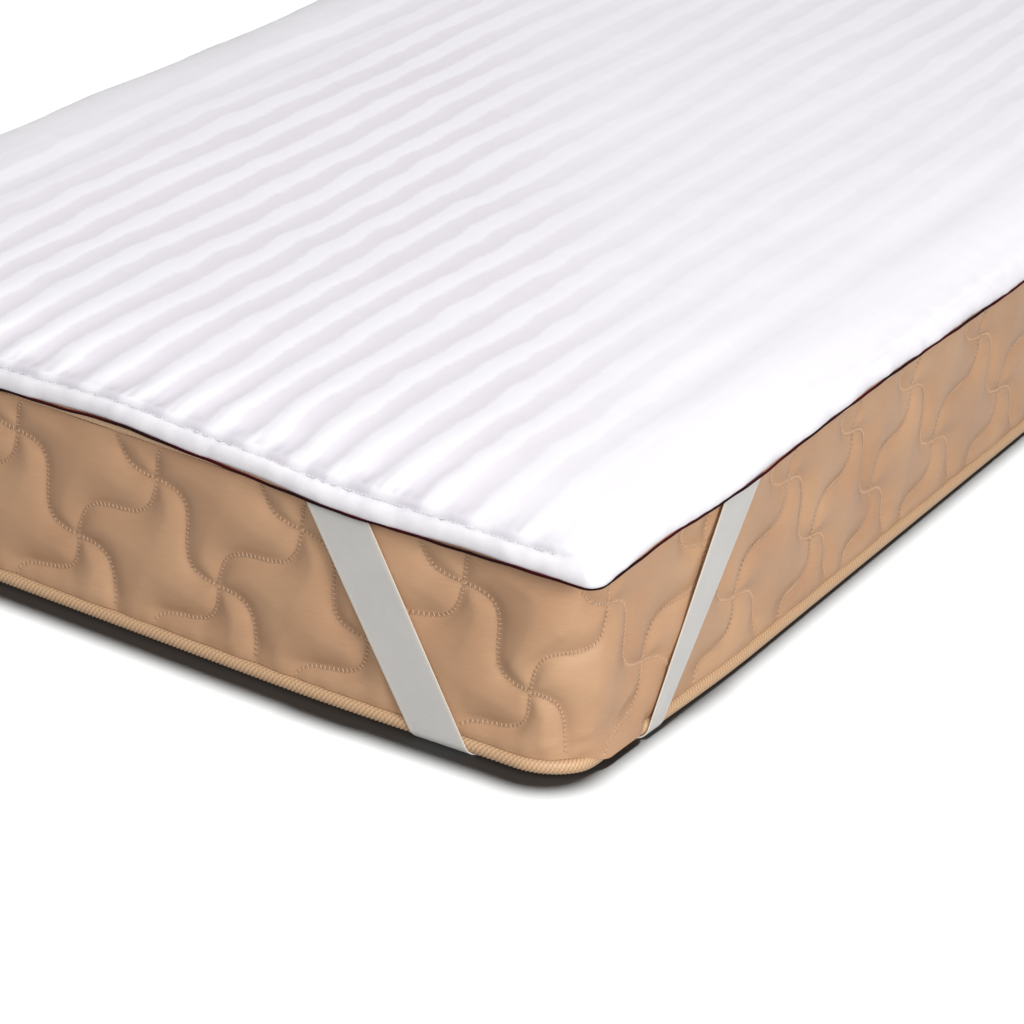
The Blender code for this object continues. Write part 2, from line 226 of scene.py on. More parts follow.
def rolled(rings):  # each ring closed by its first point
    rings = np.array(rings)
    return np.concatenate((rings, rings[:, :1]), axis=1)


def smooth(piece, degrees):
    pick(piece)
    bpy.ops.object.shade_smooth_by_angle(angle=math.radians(degrees))


def closeUp(piece, degrees, fill=True):
    # merges the ends of a rolled grid, fills its holes, turns its faces outwards and smooths it
    pick(piece)
    bpy.ops.object.mode_set(mode="EDIT")
    bpy.ops.mesh.select_all(action="SELECT")
    bpy.ops.mesh.remove_doubles(threshold=0.00001)
    if fill:
        bpy.ops.mesh.fill_holes(sides=0)
        bpy.ops.mesh.select_all(action="SELECT")
    bpy.ops.mesh.normals_make_consistent(inside=False)
    bpy.ops.object.mode_set(mode="OBJECT")
    smooth(piece, degrees)
    return piece


def joined(name, pieces):
    pick(pieces[0])
    for piece in pieces[1:]:
        piece.select_set(True)
    bpy.ops.object.join()
    pieces[0].name = pieces[0].data.name = name
    return pieces[0]


def dress(piece, material, slotName, *nodes):
    piece.data.materials.clear()
    piece.data.materials.append(material)
    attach(piece, "root")
    if nodes:
        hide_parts(*nodes)


# painted shade at each stitch's ends, where the thread sinks into the cloth
stitch = {"arch": 0.0003, "endSize": 0.6, "endPaintedShade": 0.45}


def bars(name, starts, ends, lifts, thickness, paintedShades):
    # short threads as four-sided bars from starts to ends, arched along lifts, with painted shade at
    # both ends where they sink into the cloth, and each with its own share of painted shade
    along = ends - starts
    along /= np.linalg.norm(along, axis=1)[:, None]
    side = np.cross(lifts, along)
    side /= np.linalg.norm(side, axis=1)[:, None]
    up = np.cross(along, side)
    middle = (starts + ends) / 2 + up * stitch["arch"]
    points = np.empty((len(starts), 3, 4, 3))
    small, dark = stitch["endSize"], stitch["endPaintedShade"]
    for step, (centre, size) in enumerate(((starts, small), (middle, 1.0), (ends, small))):
        for k, (right, rise) in enumerate(((-1, -1), (1, -1), (1, 1), (-1, 1))):
            points[:, step, k] = centre + thickness / 2 * size * (side * right + up * rise)
    faces = []
    for k in range(8):
        after = k - k % 4 + (k + 1) % 4
        faces.append((k, after, after + 4, k + 4))
    faces += [(3, 2, 1, 0), (8, 9, 10, 11)]
    faces = (np.array(faces) + 12 * np.arange(len(starts))[:, None, None]).reshape(-1, 4)
    mesh = bpy.data.meshes.new(name)
    mesh.from_pydata(points.reshape(-1, 3).tolist(), [], faces.tolist())
    # painted shade, kept in the mesh for the thread's darker colour
    diveShade = np.repeat((dark, 0.0, dark), 4) + np.reshape(paintedShades, (-1, 1))
    attribute = mesh.attributes.new("diveShade", "FLOAT", "POINT")
    attribute.data.foreach_set("value", diveShade.ravel().astype(np.float32))
    return addObject(name, mesh)


# materials
def newMaterial(name):
    material = bpy.data.materials.new(name)
    material.use_nodes = True
    return material, material.node_tree, material.node_tree.nodes["Principled BSDF"]


def feed(tree, socket, value):  # sets a socket's own value, or links an output to it
    if isinstance(value, bpy.types.NodeSocket):
        tree.links.new(value, socket)
    else:
        socket.default_value = value


def addNode(tree, kind, output=0, **settings):  # gives back one of the new node's outputs
    node = tree.nodes.new("ShaderNode" + kind)
    for key, value in settings.items():
        if key in node.inputs:
            feed(tree, node.inputs[key], value)
        else:
            setattr(node, key, value)
    return node.outputs[output]


def feedInTurn(tree, kind, values, **settings):  # values for the node's first sockets, in order
    output = addNode(tree, kind, **settings)
    for socket, value in zip(output.node.inputs, values):
        feed(tree, socket, value)
    return output


def mathNode(tree, operation, *values, clamp=False):
    return feedInTurn(tree, "Math", values, operation=operation, use_clamp=clamp)


def scaled(tree, value, factor, more, clamp=False):  # value times factor, plus more
    return mathNode(tree, "MULTIPLY_ADD", value, factor, more, clamp=clamp)


def mapRange(tree, value, limits, kind="LINEAR"):  # limits: from low and high, to low and high
    return feedInTurn(tree, "MapRange", (value, *limits), interpolation_type=kind)


def mixColours(tree, share, first, second):
    node = tree.nodes.new("ShaderNodeMix")
    node.data_type = "RGBA"
    for place, value in ((0, share), (6, first), (7, second)):
        feed(tree, node.inputs[place], (*value, 1) if isinstance(value, tuple) else value)
    return node.outputs[2]


def addNoise(tree, place, scale, detail, stretch=None):
    if stretch:
        place = addNode(tree, "Mapping", Vector=place, Scale=stretch)
    return addNode(tree, "TexNoise", "Fac", Vector=place, Scale=scale, Detail=detail)


def meshValue(tree, name):
    return addNode(tree, "Attribute", "Fac", attribute_name=name)


def onObject(tree):
    return addNode(tree, "TexCoord", "Object")


def onCloth(tree):
    return addNode(tree, "UVMap", "UV", uv_map="UVMap")


def axesOf(tree, place):
    return feedInTurn(tree, "SeparateXYZ", (place,)).node.outputs


def weaveGroup():
    # fine cloth grain: uneven threads crossing each other, as a height and as a tone
    group = bpy.data.node_groups.new("clothGrain", "ShaderNodeTree")
    group.interface.new_socket("Place", in_out="INPUT", socket_type="NodeSocketVector")
    for key, way in (("Pitch", "INPUT"), ("Slub", "INPUT"), ("Height", "OUTPUT"), ("Tone", "OUTPUT")):
        group.interface.new_socket(key, in_out=way, socket_type="NodeSocketFloat")
    given = group.nodes.new("NodeGroupInput").outputs
    result = group.nodes.new("NodeGroupOutput").inputs
    threads = []
    for axis in axesOf(group, given["Place"])[:2]:
        turns = mathNode(group, "DIVIDE", axis, given["Pitch"])
        threads.append(mathNode(group, "SINE", mathNode(group, "MULTIPLY", turns, math.tau)))
    slub = addNoise(group, given["Place"], 1.0, 3.0, stretch=(60, 900, 60))
    woven = mathNode(group, "MULTIPLY", *threads)
    slubs = mathNode(group, "MULTIPLY", slub, given["Slub"])
    feed(group, result["Height"], scaled(group, woven, 0.5, slubs))
    feed(group, result["Tone"], slub)
    return group


clothGrain = weaveGroup()


def addGrain(tree, place, pitch, slub):  # gives back its height and its tone
    output = addNode(tree, "Group", node_tree=clothGrain, Place=place, Pitch=pitch, Slub=slub)
    return output.node.outputs["Height"], output.node.outputs["Tone"]


def finishShader(tree, shader, colour, roughness, shine=0.5, sheen=0.0):
    feed(tree, shader.inputs["Base Color"], colour)
    feed(tree, shader.inputs["Roughness"], roughness)
    shader.inputs["Specular IOR Level"].default_value = shine
    shader.inputs["Sheen Weight"].default_value = sheen


def addBump(tree, shader, height, strength, distance):
    normal = addNode(tree, "Bump", Height=height, Strength=strength, Distance=distance)
    feed(tree, shader.inputs["Normal"], normal)


whiteSatin = {
    "bright": (0.862, 0.848, 0.882),
    "dull": (0.738, 0.700, 0.750),
    "plain": 0.15,  # share of the dull tone where the stripes hardly show
    "streaks": 0.32,  # how much the tone wanders along and across the stripes
    "fray": 0.12,  # how ragged a stripe's edges are, in stripes
    "edge": (0.17, 0.33),  # over which a bright stripe turns dull, from its middle
    "roughness": (0.50, 0.70),  # of the bright and the dull tone
    "band": (0.832, 0.810, 0.838),
    "mottle": (0.665, 0.640, 0.676),
    # colour of the painted shade in and beside the end seams and on the band's upper lines
    "seam": (0.480, 0.460, 0.500),
}


def topperMaterial():
    material, tree, shader = newMaterial("whiteSatinStripe")
    place = onObject(tree)
    panel = meshValue(tree, "onPanel")
    show = meshValue(tree, "stripeShow")
    fray = addNoise(tree, place, 160.0, 3.0)
    phase = scaled(tree, fray, whiteSatin["fray"], meshValue(tree, "stripePhase"))
    phase = mathNode(tree, "SUBTRACT", phase, whiteSatin["fray"] / 2)
    inStripe = mathNode(tree, "PINGPONG", phase, 0.5)  # 0 in the middle of a bright stripe
    dull = mapRange(tree, inStripe, (*whiteSatin["edge"], 0.0, 1.0), "SMOOTHSTEP")
    dull = mathNode(tree, "MULTIPLY", dull, show)
    unseen = mathNode(tree, "SUBTRACT", 1.0, show)
    dull = scaled(tree, unseen, whiteSatin["plain"], dull)
    for stretch in ((110, 9, 9), (12, 42, 12)):
        wander = mathNode(tree, "SUBTRACT", addNoise(tree, place, 1.0, 2.0, stretch), 0.5)
        dull = scaled(tree, wander, whiteSatin["streaks"], dull, clamp=True)
    colour = mixColours(tree, dull, whiteSatin["bright"], whiteSatin["dull"])
    colour = mixColours(tree, panel, whiteSatin["band"], colour)
    mottle = addNoise(tree, place, 48.0, 4.0)
    worn = scaled(tree, mottle, 2.0, -0.65, clamp=True)
    worn = mathNode(tree, "MULTIPLY", worn, mathNode(tree, "SUBTRACT", 1.0, panel))
    colour = mixColours(tree, worn, colour, whiteSatin["mottle"])
    # painted shade from the mesh: the seam, its gathers, the grooves beside it and the band's upper
    # lines
    colour = mixColours(tree, meshValue(tree, "seamShade"), colour, whiteSatin["seam"])
    roughness = mapRange(tree, dull, (0.0, 1.0, *whiteSatin["roughness"]))
    finishShader(tree, shader, colour, roughness, sheen=0.15)
    addBump(tree, shader, addGrain(tree, place, 0.0007, 0.8)[0], 0.25, 0.0002)
    return material


tanSatin = {
    "light": (0.566, 0.352, 0.207),
    "dark": (0.372, 0.201, 0.114),
    "roughness": 0.44,
    "shine": 0.24,
}


def tanMaterial():
    material, tree, shader = newMaterial("tanSatin")
    height, tone = addGrain(tree, onCloth(tree), 0.0008, 1.0)
    patches = addNoise(tree, onObject(tree), 11.0, 3.0)
    tone = scaled(tree, tone, 0.4, -0.15)
    tone = scaled(tree, patches, 0.9, tone, clamp=True)
    colour = mixColours(tree, tone, tanSatin["dark"], tanSatin["light"])
    finishShader(tree, shader, colour, tanSatin["roughness"], shine=tanSatin["shine"])
    addBump(tree, shader, height, 0.15, 0.0002)
    return material


# yarns of two colours: the mesh's value that mixes them, and what the fibres add to it
thread = {"value": "diveShade", "fibres": (900.0, 2.0), "uneven": 0.4, "less": 0.2, "bump": (0.3, 0.0002)}
yarns = {
    # the threads' second colour is painted shade, at their ends and on every second quilting stitch
    "tanThread": {**thread, "colours": ((0.66, 0.445, 0.285), (0.245, 0.140, 0.082))},
    "whiteThread": {**thread, "colours": ((0.84, 0.83, 0.85), (0.60, 0.58, 0.62))},
    "tanRopedTape": {
        "value": "rib",
        # the first colour is painted shade in the valleys between the ribs
        "colours": ((0.30, 0.165, 0.080), (0.66, 0.425, 0.245)),
        "fibres": (600.0, 3.0),
        "uneven": 0.4,
        "less": 0.1,
        "bump": (0.4, 0.0003),
    },
    "darkPipingCord": {
        "value": "fringe",
        "colours": ((0.004, 0.0025, 0.003), (0.13, 0.004, 0.010)),
        "fibres": (700.0, 2.0),
        "uneven": 0.5,
        "less": 0.25,
        "bump": (0.5, 0.0003),
    },
}


def yarnMaterial(name, roughness, **look):
    yarn = yarns[name]
    material, tree, shader = newMaterial(name)
    fibres = addNoise(tree, onObject(tree), *yarn["fibres"])
    share = scaled(tree, fibres, yarn["uneven"], meshValue(tree, yarn["value"]))
    share = mathNode(tree, "SUBTRACT", share, yarn["less"], clamp=True)
    finishShader(tree, shader, mixColours(tree, share, *yarn["colours"]), roughness, **look)
    addBump(tree, shader, fibres, *yarn["bump"])
    return material


elastic = {
    "cloth": (0.575, 0.557, 0.532),
    "groove": (0.500, 0.485, 0.462),
    "selvedge": (0.62, 0.57, 0.50),
    "ribPitch": 0.0013,
}


def strapMaterial():
    material, tree, shader = newMaterial("greyElastic")
    cloth = onCloth(tree)
    across, along, _ = axesOf(tree, cloth)
    slanted = mathNode(tree, "ADD", across, along)
    turns = mathNode(tree, "MULTIPLY", slanted, math.tau / elastic["ribPitch"])
    ribs = scaled(tree, mathNode(tree, "SINE", turns), 0.5, 0.5)
    height, grain = addGrain(tree, cloth, 0.0009, 0.6)
    tone = scaled(tree, addNoise(tree, cloth, 26.0, 2.0), 1.2, -0.35)
    tone = scaled(tree, grain, 0.3, tone)
    tone = scaled(tree, ribs, 0.3, tone, clamp=True)
    body = mixColours(tree, tone, elastic["groove"], elastic["cloth"])
    colour = mixColours(tree, meshValue(tree, "selvedge"), body, elastic["selvedge"])
    finishShader(tree, shader, colour, 0.62, sheen=0.2)
    addBump(tree, shader, mathNode(tree, "ADD", ribs, height), 0.4, 0.0003)
    return material


# the mattress
quilt = {
    "period": 0.146,
    "step": 0.077,  # height from one row of crossings to the next
    "lowRow": 0.0705,
    "stagger": 0.066,  # from a high crossing to the low one on its right
    "wave": 0.0145,
    "depth": 0.0078,  # of the broad puffs between the stitched lines
    "reach": 0.0165,
    "creaseDepth": 0.0022,  # of the steep valley along each line
    "creaseReach": 0.0045,
    "flatSeam": 0.020,  # the puffs are shallower this near the seams
    "pressed": 0.75,  # and under the straps
    "pressReach": 0.055,
    "round": 0.0013,  # how round the bottom of the valley is
    "firstCrossing": 3,  # step of the outline that a low crossing stands on
    "periods": 40,
    "closer": 0.055,  # how much closer the lines come on the first part of the right long side
    "closerPart": (0.33, 0.60),  # from where to where, from the side's corner
    "closerRest": (0.65, 1.85),  # where they make up a whole period
    "wider": 0.008,  # how much wider they stand before that corner
    "widerReach": 0.20,
    "fine": 7,  # columns to one step
    "rows": 46,
    "seamDraw": 0.0030,
    "seamReach": 0.010,
    "wrinkle": 0.0004,
    "pullPitches": (0.083, 0.031),  # of the small pulls along the lower seam
    "pullSlant": 60,
    "pullReach": 0.030,
    "ripple": 0.0006,
    "rippleSize": 0.04,
    "zigPitch": 0.0042,
    "zigWidth": 0.0042,
    "thread": 0.0007,
    "stitchPaintedShade": 0.6,  # painted shade: how much darker every second stitch is
    "sideShadeShare": 0.2,  # share of that painted shade along the long sides
}


def quiltCurves(samples, levels=range(-1, 4), repeats=(-1, 0, 1, 2)):
    # each crossing sends an S-shaped line down to each side; points are (along, height)
    share = np.arange(samples) / samples
    wave = quilt["wave"] * np.sin(math.tau * share)
    curves = []
    for level in levels:
        height = quilt["lowRow"] + quilt["step"] * level
        shift = -quilt["stagger"] * (level % 2)
        right = quilt["stagger"] if level % 2 else quilt["period"] - quilt["stagger"]
        for repeat in repeats:
            for slide in (right - quilt["period"], right):
                length = math.hypot(slide, quilt["step"])
                along = shift + repeat * quilt["period"] + slide * share
                along = along + wave * quilt["step"] / length
                up = height - quilt["step"] * share + wave * slide / length
                curves.append(np.column_stack((along, up)))
    return curves


cell = 0.001
tableAlong = np.arange(0, 0.1461, cell)
tableUp = np.arange(0, 0.201, cell)


def lineTable():
    # distance from each place of one quilting period to the nearest stitched line
    points = np.concatenate(quiltCurves(60))
    along, up = np.meshgrid(tableAlong, tableUp)
    nearest = np.full(along.shape, 1.0)
    for start in range(0, len(points), 200):
        some = points[start : start + 200]
        away = np.hypot(along[..., None] - some[:, 0], up[..., None] - some[:, 1])
        nearest = np.minimum(nearest, away.min(axis=-1))
    return nearest


nearestLine = lineTable()


def lineDistance(along, up):
    u = np.clip((along % quilt["period"]) / cell, 0, len(tableAlong) - 1.001)
    v = np.clip(up / cell, 0, len(tableUp) - 1.001)
    i, j = u.astype(int), v.astype(int)
    s, t = u - i, v - j
    low = nearestLine[j, i] * (1 - s) + nearestLine[j, i + 1] * s
    high = nearestLine[j + 1, i] * (1 - s) + nearestLine[j + 1, i + 1] * s
    return low * (1 - t) + high * t


stepLength = quilt["period"] / 6
lowLedge = strapRoom + 2 * tapeRadius + gap
highLedge = bed["top"] - 2 * topTapeRadius - gap


def quiltPlace(ringStep):
    # where a place of the outline, in steps, lies on the quilting
    corner = cornerStarts[3]  # the right front one
    side = (ringStep - corner - cornerSteps) * stepLength + bed["corner"]
    rest = quilt["period"] - quilt["closer"]
    closer = quilt["closer"] * ease(side, *quilt["closerPart"])
    closer = closer + rest * ease(side, *quilt["closerRest"])
    wider = quilt["wider"] * bump((ringStep - corner) * stepLength, quilt["widerReach"])
    return (ringStep - quilt["firstCrossing"]) * stepLength + closer - wider


# loose folds round each corner: from and to, in steps from the corner's middle and height, then
# width and rise
cornerFolds = [
    (-0.7, 0.128, -2.4, 0.092, 0.0050, 0.0016),
    (0.5, 0.170, -0.5, 0.128, 0.0060, 0.0013),
    (-1.0, 0.026, 0.9, 0.038, 0.0035, 0.0012),
    (0.3, 0.020, 1.8, 0.030, 0.0030, 0.0010),
    (1.2, 0.120, 0.9, 0.070, 0.0060, 0.0010),
    (3.2, 0.060, 2.2, 0.030, 0.0060, 0.0012),
    (-3.4, 0.172, -1.8, 0.158, 0.0050, 0.0010),
]


def pressedShare(ringStep, height):  # 1 in the middle of a strap, 0 away from them
    fromCorner = straps["start"] - bed["corner"] - straps["slant"] * (bed["top"] - height)
    pressed = 0
    for first in cornerStarts:
        last = first + cornerSteps
        for place in (first - fromCorner / stepLength, last + fromCorner / stepLength):
            apart = (ringStep - place + ringSteps / 2) % ringSteps - ringSteps / 2
            pressed = np.maximum(pressed, bump(apart * stepLength, quilt["pressReach"]))
    return pressed


def foldRise(ringStep, height):
    rises = 0
    for first in cornerStarts:
        middle = first + cornerSteps / 2
        for fromStep, fromUp, toStep, toUp, width, rise in cornerFolds:
            px, pz = (ringStep - middle - fromStep) * stepLength, height - fromUp
            dx, dz = (toStep - fromStep) * stepLength, toUp - fromUp
            share = np.clip((px * dx + pz * dz) / (dx * dx + dz * dz), 0, 1)
            away = np.hypot(px - share * dx, pz - share * dz)
            rises = rises + rise * np.exp(-((away / width) ** 2))
    return rises


def panelDraw(ringStep, height):
    # how far in the side panel lies at a place, from puffs, seams and small pulls in the cloth
    along = quiltPlace(ringStep)
    away = np.hypot(lineDistance(along, height), quilt["round"])
    valley = quilt["depth"] * fall(away, quilt["reach"])
    valley = valley + quilt["creaseDepth"] * fall(away, quilt["creaseReach"])
    fromLow, fromHigh = height - lowLedge, highLedge - height
    flat = ease(np.minimum(fromLow, fromHigh), -0.002, quilt["flatSeam"])
    valley = valley * (0.25 + 0.75 * flat)
    valley = valley * (1 - quilt["pressed"] * pressedShare(ringStep, height))
    seams = fall(fromLow, quilt["seamReach"]) + fall(fromHigh, quilt["seamReach"])
    broad, narrow = (along * math.tau / pitch for pitch in quilt["pullPitches"])
    pulls = np.sin(broad) * np.sin(narrow + height * quilt["pullSlant"])
    wrinkles = quilt["wrinkle"] * (1 + pulls * fall(fromLow, quilt["pullReach"]))
    return valley + quilt["seamDraw"] * seams + wrinkles - foldRise(ringStep, height)


# beside the right front corner the side's cloth hangs over the tape
overhang = {
    "from": (155.5, 157.0),  # steps of the outline over which it starts
    "to": (158.75, 159.35),
    "height": 0.030,  # of the cloth that is drawn down
    "drop": 0.0070,
    "out": 0.0008,
    "tapeIn": 0.0040,  # how far the tape is pushed in behind it
}


def overhangAlong(ringStep):
    return ease(ringStep, *overhang["from"]) * (1 - ease(ringStep, *overhang["to"]))


def overhangShare(ringStep, height):
    return overhangAlong(ringStep) * (1 - ease(height - lowLedge, 0.0, overhang["height"]))


def makeMattress():
    base, out = bedEdge(quilt["fine"])
    count = len(base)

    def ringAt(offset, height):
        offset = np.broadcast_to(offset, (count,))
        return np.column_stack((base + out * offset[:, None], np.broadcast_to(height, (count,))))

    heights = np.linspace(lowLedge, highLedge, quilt["rows"] + 1)
    steps, ups = np.meshgrid(np.arange(count) / quilt["fine"], heights)
    turn = steps / ringSteps * math.tau
    ripple = roughness(np.cos(turn) * 0.9, np.sin(turn) * 0.9, ups, quilt["rippleSize"])
    draw = panelDraw(steps, ups) + quilt["ripple"] * ripple
    over = overhangShare(steps, ups)
    offsets = -np.maximum(draw, 0) * (1 - over) + overhang["out"] * over
    drops = overhang["drop"] * over
    behindTape = -2 * tapeRadius - 2 * gap
    rings = [ringAt(behindTape, strapRoom), ringAt(behindTape, lowLedge - 0.0008)]
    # the back of the overhanging cloth: over the tape and down beside it
    for share, drop in ((0.15, 0), (0.30, 0.94)):
        offset = offsets[0] + (share - 1) * overhang["out"] * over[0]
        rings.append(ringAt(offset, lowLedge - drop * drops[0]))
    rings += [ringAt(line, height - drop) for line, height, drop in zip(offsets, heights, drops)]
    behindTape = -2 * topTapeRadius - 2 * gap
    rings += [ringAt(behindTape, highLedge + 0.0004), ringAt(behindTape, bed["top"])]
    piece = gridPiece("mattressBody", rolled(rings), {}, (ringSteps * stepLength, 0.19))
    return closeUp(piece, 60)


def makeQuiltStitches():
    # a zigzag thread along every stitched line, sunk in its valley
    base, out = bedEdge(quilt["fine"])
    edge = np.column_stack((base, out))
    edge = np.concatenate((edge, edge[:1])).T
    edgeStep = np.arange(len(base) + 1) / quilt["fine"]
    edgeAlong = quiltPlace(edgeStep)

    def onPanel(along, up):  # the place there and the way out of the panel
        along = edgeAlong[0] + (along - edgeAlong[0]) % (quilt["periods"] * quilt["period"])
        ringStep = np.interp(along, edgeAlong, edgeStep)
        over = overhangShare(ringStep, up)
        offset = overhang["out"] * over - panelDraw(ringStep, up) * (1 - over)
        x, y, outX, outY = (np.interp(ringStep, edgeStep, line) for line in edge)
        place = (x + outX * offset, y + outY * offset, up - overhang["drop"] * over)
        return np.column_stack(place), np.column_stack((outX, outY, 0 * outX))

    groups = []
    for curve in quiltCurves(400, range(0, 4), range(quilt["periods"])):
        run = runAlong(curve)
        turns = np.arange(0, run[-1], quilt["zigPitch"] / 2)
        along = np.interp(turns, run, curve[:, 0])
        up = np.interp(turns, run, curve[:, 1])
        way = np.column_stack((np.gradient(along), np.gradient(up)))
        way /= np.linalg.norm(way, axis=1)[:, None]
        odd = np.arange(len(turns)) % 2
        side = (0.5 - odd) * quilt["zigWidth"]
        along = along - way[:, 1] * side
        up = up + way[:, 0] * side
        keep = (up > lowLedge + 0.003) & (up < highLedge - 0.002)
        place, lift = onPanel(along, up)
        both = keep[:-1] & keep[1:]
        # painted shade on every second stitch, less of it along the long sides
        onEnd = quilt["sideShadeShare"] + (1 - quilt["sideShadeShare"]) * np.abs(lift[:-1, 1])
        dark = odd[:-1] * quilt["stitchPaintedShade"] * onEnd
        groups.append((place[:-1][both], place[1:][both], lift[:-1][both], dark[both]))
    starts, ends, lifts, paintedShades = (np.concatenate(part) for part in zip(*groups))
    return bars("quiltStitches", starts, ends, lifts, quilt["thread"], paintedShades)


tapes = {
    "fine": 30,
    "ribSteps": 5,  # columns to one rib
    "ribDepth": 0.0010,
    "lean": 0.60,  # sideways run of a rib for each unit round the tape
}


def tube(name, around, lineAt, valueName, uvSize):
    # a cord round the bed: lineAt gives its points, and a value at each, at an angle round the
    # cord, which runs from its lowest line outwards and up
    angles = [math.tau * k / around - math.pi / 2 for k in [*range(around), 0]]
    rings, values = zip(*(lineAt(angle) for angle in angles))
    piece = gridPiece(name, rolled(rings), {valueName: rolled(values)}, uvSize)
    return closeUp(piece, 180, fill=False)


def makeTape(name, radius, inset, height, around, squareness, ribShare=1.0, pushed=0.0):
    base = bedRing(-radius - inset, tapes["fine"])
    out = bedEdge(tapes["fine"])[1]
    steps = np.arange(len(base))
    base = base - out * (pushed * overhangAlong(steps / tapes["fine"]))[:, None]
    run = steps * stepLength / tapes["fine"]
    pitch = tapes["ribSteps"] * stepLength / tapes["fine"]

    def rounded(share):  # towards a square
        return radius * math.copysign(abs(share) ** (2 / squareness), share)

    def lineAt(angle):
        turn = math.tau * (run + tapes["lean"] * radius * angle) / pitch
        # rib: 1 on a rib's crest, less in the valleys, where the material paints shade
        rib = 1 - ribShare * (0.5 - 0.5 * np.cos(turn)) ** 1.6
        shrink = 1 - tapes["ribDepth"] * (1 - rib) / radius
        ring = base + out * (rounded(math.cos(angle)) * shrink)[:, None]
        return np.column_stack((ring, height + rounded(math.sin(angle)) * shrink)), rib

    return tube(name, around, lineAt, "rib", (run[-1], 0.04))


# the topper
cover = {
    "stripePeriod": 0.0411,
    "stripeStart": 0.0035,  # x of the middle of a bright stripe
    "stripeWander": 0.0022,
    "stripeRagged": 0.0040,
    "stripeRelief": 0.0015,
    "stripeBulge": 0.0034,  # more of it beside the end seams
    "bulgeReach": 0.040,
    "grooveShade": 0.40,  # and painted shade in the grooves between them
    "grooveReach": 0.016,
    "pucker": 0.0018,
    "puckerPitch": 0.0125,
    "puckerReach": 0.015,
    "seamPucker": 0.0032,
    "seamSway": 0.0026,
    "bandLumps": 0.0015,
    "lumpPitch": 0.19,
    "bandShade": 0.12,  # painted shade that makes the band's upper lines a little darker, where the light falls brightest
    "roll": 0.0024,  # soft roll along each long edge, and the dip behind it
    "rollPlace": 0.090,
    "rollWidth": 0.035,
    "wave": 0.0007,
    "waveSize": 0.11,
    "fade": 0.72,  # painted sheen: the stripes fade away from the foot end and towards the right, where the satin's sheen washes them out
    "fadeTurn": 0.75,
    "fadeFrom": -0.3675,
    "fadeOver": 0.24,
    "farStripes": 0.5,  # share of the fade that is gone again in the far half
}
# side band of the topper, from the underside to the top panel: inset, rise over the mattress and
# share of the straps' pull
bandLines = [
    (0.0060, 0.0003, 0.00),
    (0.0034, -0.0018, 0.70),
    (0.0016, -0.0027, 1.00),
    (0.0000, -0.0021, 1.00),
    (-0.0011, -0.0005, 1.00),
    (-0.0017, 0.0017, 1.00),
    (-0.0018, 0.0042, 1.00),
    (-0.0013, 0.0069, 1.00),
    (-0.0003, 0.0094, 1.00),
    (0.0013, 0.0117, 0.98),
    (0.0034, 0.0132, 0.95),
    (0.0056, 0.0138, 0.90),
    (0.0075, 0.0135, 0.86),
    (0.0086, 0.0120, 0.84),
    (0.0094, 0.0144, 0.80),
    (0.0116, 0.0177, 0.70),
]
seamLine = 13
# and how far the seam's dip is filled along the long sides, where the edge only rolls over
sideFill = [0] * 9 + [0.0002, 0.0006, 0.0014, 0.0026, 0.0046, 0.0026, 0.0002]
padSteps = {"across": pad["columns"], "along": pad["rows"], "corner": pad["cornerSteps"]}


def stripePhase(x, y):
    wander = np.sin(9 * y + 21 * x) + 0.6 * np.sin(23 * y - 34 * x + 1.3)
    wander = cover["stripeWander"] * (wander + 0.3 * np.sin(61 * y + 50 * x))
    wander = wander + cover["stripeRagged"] * roughness(x, y, 0 * x, 0.035, 5.0)
    return (x - cover["stripeStart"] + wander) / cover["stripePeriod"]


def puckers(run, seed):
    # uneven gathers along a seam, from 0 to 1
    turn = math.tau * run / cover["puckerPitch"]
    uneven = 0.9 * np.sin(turn * 0.23 + seed) + 0.7 * np.sin(turn * 0.41 + 2.1 * seed)
    return 0.5 + 0.5 * np.sin(turn + uneven) * (0.65 + 0.35 * np.sin(turn * 0.11 + seed))


def endShare(plan):
    # 1 along the bed's ends, 0 along its long sides and round the corners
    across, along = fromRim(plan)
    return ease(across - along, 0.010, 0.045)


def topHeight(plan):
    # the top panel's height, and the distances inwards from its edge, a side and an end
    fromSide, fromEnd = (away - pad["edgeInset"] for away in fromRim(plan))
    inward = np.maximum(np.minimum(fromSide, fromEnd), 0)
    x, y = plan[..., 0], plan[..., 1]
    waves = np.cos(11 * x + 3 * y) + np.cos(7 * y - 4 * x) + np.cos(17 * x - 9 * y)
    crown = (pad["crown"] + pad["crownWave"] * waves) * (1 - fall(inward, pad["crownReach"]))
    height = bed["top"] + pad["edgeRise"] + crown
    for axis, size in enumerate((pad["width"], pad["length"])):
        for edge in (size / 2, -size / 2):
            beside = plan.copy()
            beside[..., axis] = edge
            away = np.abs(edge - plan[..., axis]) - pad["edgeInset"]
            height = height + pad["edgeFollow"] * rimShift(beside) * fall(away, pad["crownReach"])
    return height, inward, fromSide, fromEnd


def fromCorner(ring):  # a ring of the topper, started in the middle of its far right corner
    return np.roll(ring, -(pad["cornerSteps"] // 2), axis=0)


def panelPlan():
    # the top panel's places in plan, the outer ones on the four sides of its edge
    columns = pad["columns"] + pad["cornerSteps"]
    rows = pad["rows"] + pad["cornerSteps"]
    edge = fromCorner(padRing(pad["edgeInset"], padSteps))
    edge = np.concatenate((edge, edge[:1]))
    far = edge[: columns + 1][::-1]
    left = edge[columns : columns + rows + 1][::-1]
    near = edge[columns + rows : 2 * columns + rows + 1]
    right = edge[2 * columns + rows :]
    plan = np.stack(np.meshgrid(near[:, 0], left[:, 1]), axis=-1)
    plan[0], plan[-1], plan[:, 0], plan[:, -1] = near, far, left, right
    return plan


def edgeOf(values):  # the values along the panel's edge, anticlockwise from the far right
    sides = (values[-1, ::-1], values[::-1, 0], values[0], values[:, -1])
    return np.concatenate([side[:-1] for side in sides])


